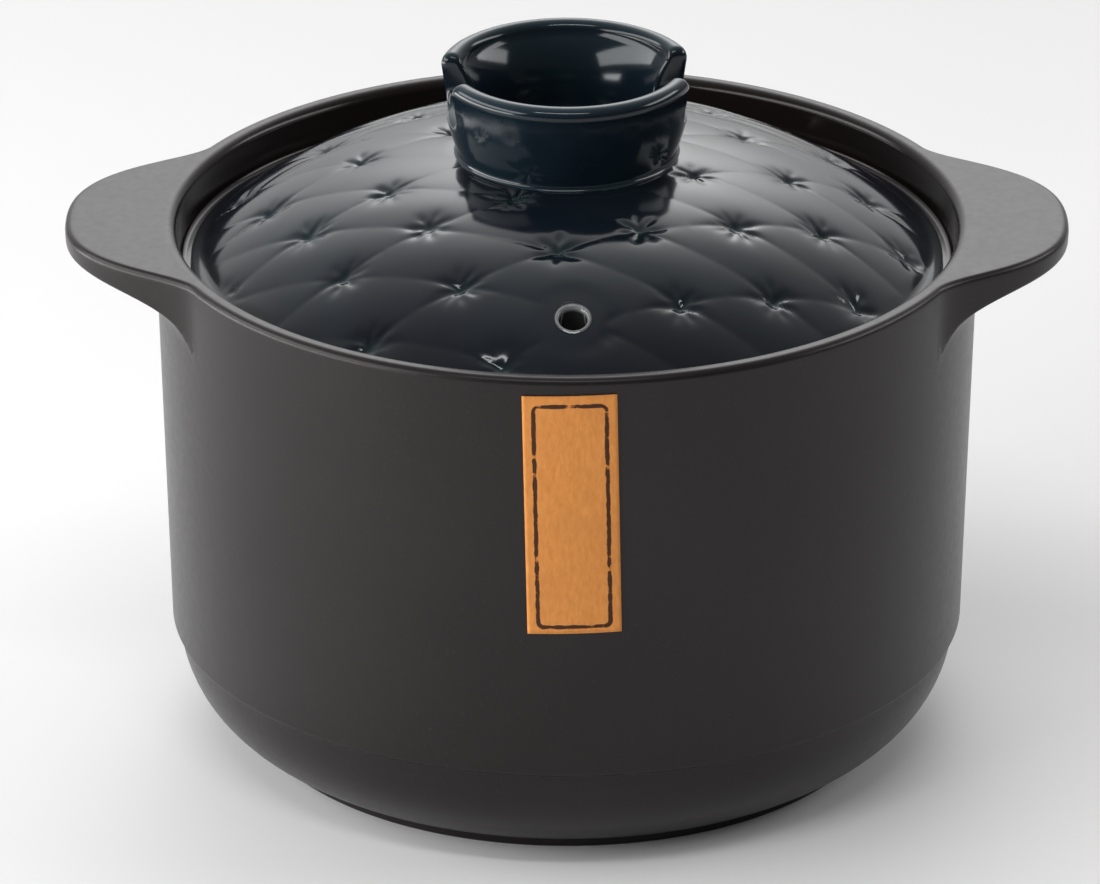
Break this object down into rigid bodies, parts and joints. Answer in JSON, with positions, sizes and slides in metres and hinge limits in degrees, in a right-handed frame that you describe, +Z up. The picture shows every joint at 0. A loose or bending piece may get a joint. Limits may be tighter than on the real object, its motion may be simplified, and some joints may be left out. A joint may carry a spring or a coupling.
{
  "type": "ceramic cooking pot",
  "caption": "Deep straight-walled ceramic cooking pot with flat lug handles, a tufted domed lid that sits inside the rim, and a notched ring knob.",
  "frame": {"origin": "centre of the foot, on the surface that the pot stands on", "axes": "+X through the handles, -Y out of the front with the label, +Z up along the axis of the pot"},
  "size_m": [0.2646, 0.2178, 0.1875],
  "materials": {
    "body_glaze": "satin charcoal-brown glaze with fine speckle",
    "lid_glaze": "glossy blue-black glaze that breaks to teal over the relief",
    "label_paper": "matt kraft paper with a plain border line"
  },
  "bodies": {
    "pot": {"pot_body": "body_glaze", "handle_left": "body_glaze", "handle_right": "body_glaze", "label": "label_paper"},
    "lid": {"lid_shell": "lid_glaze", "lid_knob": "lid_glaze"}
  },
  "joints": [
    {"name": "lid_lift", "type": "slide", "parent": "pot", "child": "lid", "axis": [0, 0, 1], "range_m": [0, 0.08]}
  ]
}
